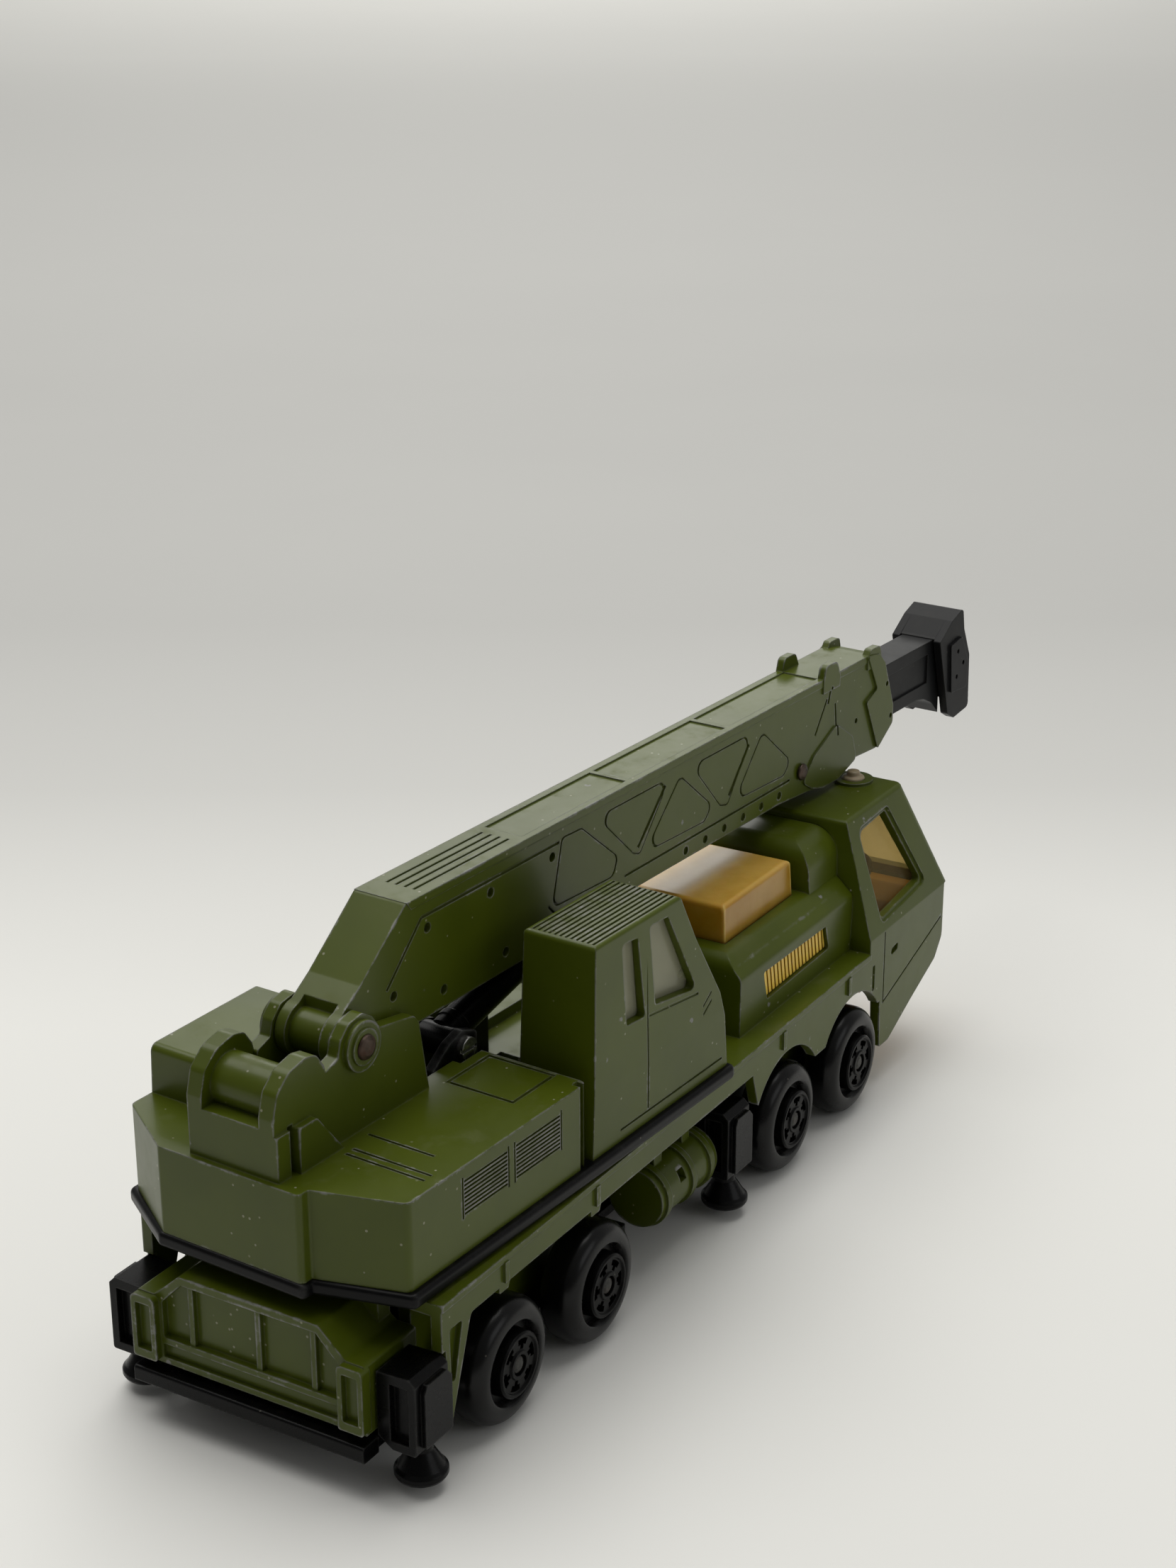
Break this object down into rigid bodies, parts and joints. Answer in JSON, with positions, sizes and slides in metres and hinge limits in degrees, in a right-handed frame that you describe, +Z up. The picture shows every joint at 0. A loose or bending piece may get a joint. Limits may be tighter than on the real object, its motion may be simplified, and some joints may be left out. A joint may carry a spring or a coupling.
{
  "type": "toy crane truck",
  "caption": "Die-cast toy crane truck with free-rolling wheels, a slewing turret, a lifting telescopic boom and sliding outriggers.",
  "frame": {"origin": "on the ground plane under the middle of the wheelbase, on the truck's centre plane", "axes": "+X forward, +Y to the truck's left, +Z up; the turret is stored slewed 2.9 degrees to the right"},
  "size_m": [0.2121, 0.0563, 0.0739],
  "materials": {
    "body_paint": "gloss olive green paint over die-cast zinc, chipped at the edges",
    "black_plastic": "satin black plastic, scuffed edges",
    "wheel_plastic": "gloss black plastic",
    "amber_plastic": "translucent amber plastic",
    "yellow_plastic": "satin yellow plastic",
    "beige_plastic": "worn beige plastic",
    "clear_plastic": "clear plastic with light haze",
    "brown_steel": "browned steel rivet",
    "bright_steel": "plain turned steel",
    "axle_steel": "dull dark steel"
  },
  "bodies": {
    "chassis": {"chassis_body": "body_paint", "base_plate": "black_plastic", "base_rivets": "brown_steel", "cab_glazing": "clear_plastic", "cab_interior": "yellow_plastic", "steering_wheel": "black_plastic", "engine_cover": "amber_plastic", "engine_strip_right": "amber_plastic", "engine_strip_left": "amber_plastic", "roof_beacon": "beige_plastic", "axle_1": "axle_steel", "axle_2": "axle_steel", "axle_3": "axle_steel", "axle_4": "axle_steel"},
    "wheel_1_right": {"tyre_1_right": "wheel_plastic", "hub_1_right": "wheel_plastic"},
    "wheel_1_left": {"tyre_1_left": "wheel_plastic", "hub_1_left": "wheel_plastic"},
    "wheel_2_right": {"tyre_2_right": "wheel_plastic", "hub_2_right": "wheel_plastic"},
    "wheel_2_left": {"tyre_2_left": "wheel_plastic", "hub_2_left": "wheel_plastic"},
    "wheel_3_right": {"tyre_3_right": "wheel_plastic", "hub_3_right": "wheel_plastic"},
    "wheel_3_left": {"tyre_3_left": "wheel_plastic", "hub_3_left": "wheel_plastic"},
    "wheel_4_right": {"tyre_4_right": "wheel_plastic", "hub_4_right": "wheel_plastic"},
    "wheel_4_left": {"tyre_4_left": "wheel_plastic", "hub_4_left": "wheel_plastic"},
    "outrigger_rear_right": {"outrigger_rear_right": "black_plastic"},
    "outrigger_rear_left": {"outrigger_rear_left": "black_plastic"},
    "outrigger_mid_right": {"outrigger_mid_right": "black_plastic"},
    "outrigger_mid_left": {"outrigger_mid_left": "black_plastic"},
    "turret": {"turret_body": "body_paint", "turret_base_plate": "black_plastic", "turret_retainer": "brown_steel", "operator_glazing": "clear_plastic", "boom_pin": "brown_steel", "ram_pin": "bright_steel"},
    "boom": {"outer_boom": "body_paint", "boom_rivets": "brown_steel"},
    "extension": {"inner_boom": "black_plastic", "boom_head": "black_plastic"},
    "ram_barrel": {"ram_cylinder": "black_plastic"},
    "ram_rod": {"ram_rod": "bright_steel"}
  },
  "joints": [
    {"name": "wheel_1_right_spin", "type": "hinge", "parent": "chassis", "child": "wheel_1_right", "pos_m": [-0.0549, -0.0239, 0.0095], "axis": [0, 1, 0], "continuous": true},
    {"name": "wheel_1_left_spin", "type": "hinge", "parent": "chassis", "child": "wheel_1_left", "pos_m": [-0.0549, 0.0239, 0.0095], "axis": [0, 1, 0], "continuous": true},
    {"name": "wheel_2_right_spin", "type": "hinge", "parent": "chassis", "child": "wheel_2_right", "pos_m": [-0.03045, -0.0239, 0.0095], "axis": [0, 1, 0], "continuous": true},
    {"name": "wheel_2_left_spin", "type": "hinge", "parent": "chassis", "child": "wheel_2_left", "pos_m": [-0.03045, 0.0239, 0.0095], "axis": [0, 1, 0], "continuous": true},
    {"name": "wheel_3_right_spin", "type": "hinge", "parent": "chassis", "child": "wheel_3_right", "pos_m": [0.03045, -0.0239, 0.0095], "axis": [0, 1, 0], "continuous": true},
    {"name": "wheel_3_left_spin", "type": "hinge", "parent": "chassis", "child": "wheel_3_left", "pos_m": [0.03045, 0.0239, 0.0095], "axis": [0, 1, 0], "continuous": true},
    {"name": "wheel_4_right_spin", "type": "hinge", "parent": "chassis", "child": "wheel_4_right", "pos_m": [0.0549, -0.0239, 0.0095], "axis": [0, 1, 0], "continuous": true},
    {"name": "wheel_4_left_spin", "type": "hinge", "parent": "chassis", "child": "wheel_4_left", "pos_m": [0.0549, 0.0239, 0.0095], "axis": [0, 1, 0], "continuous": true},
    {"name": "outrigger_rear_right_slide", "type": "slide", "parent": "chassis", "child": "outrigger_rear_right", "axis": [0, -1, 0], "range_m": [0, 0.007]},
    {"name": "outrigger_rear_left_slide", "type": "slide", "parent": "chassis", "child": "outrigger_rear_left", "axis": [0, 1, 0], "range_m": [0, 0.007]},
    {"name": "outrigger_mid_right_slide", "type": "slide", "parent": "chassis", "child": "outrigger_mid_right", "axis": [0, -1, 0], "range_m": [0, 0.007]},
    {"name": "outrigger_mid_left_slide", "type": "slide", "parent": "chassis", "child": "outrigger_mid_left", "axis": [0, 1, 0], "range_m": [0, 0.007]},
    {"name": "turret_slew", "type": "hinge", "parent": "chassis", "child": "turret", "pos_m": [-0.033, 0, 0.0274], "axis": [0, 0, 1], "continuous": true},
    {"name": "boom_lift", "type": "hinge", "parent": "turret", "child": "boom", "pos_m": [-0.05967, 0.00135, 0.0561], "axis": [-0.0506, -0.9987, 0], "range_deg": [0, 40]},
    {"name": "boom_extend", "type": "slide", "parent": "boom", "child": "extension", "axis": [0.9987, -0.0506, 0], "range_m": [0, 0.05]},
    {"name": "ram_tilt", "type": "hinge", "parent": "turret", "child": "ram_barrel", "pos_m": [-0.033, 0, 0.0442], "axis": [-0.0506, -0.9987, 0], "range_deg": [0, 51.77]},
    {"name": "ram_stroke", "type": "slide", "parent": "ram_barrel", "child": "ram_rod", "axis": [0.9715, -0.0492, 0.2318], "range_m": [0, 0.01723]}
  ],
  "couplings": [
    {"joint": "ram_tilt", "follows": "boom_lift", "ratio": 1.2692},
    {"joint": "ram_stroke", "follows": "boom_lift", "m_per_rad": 0.024255}
  ]
}
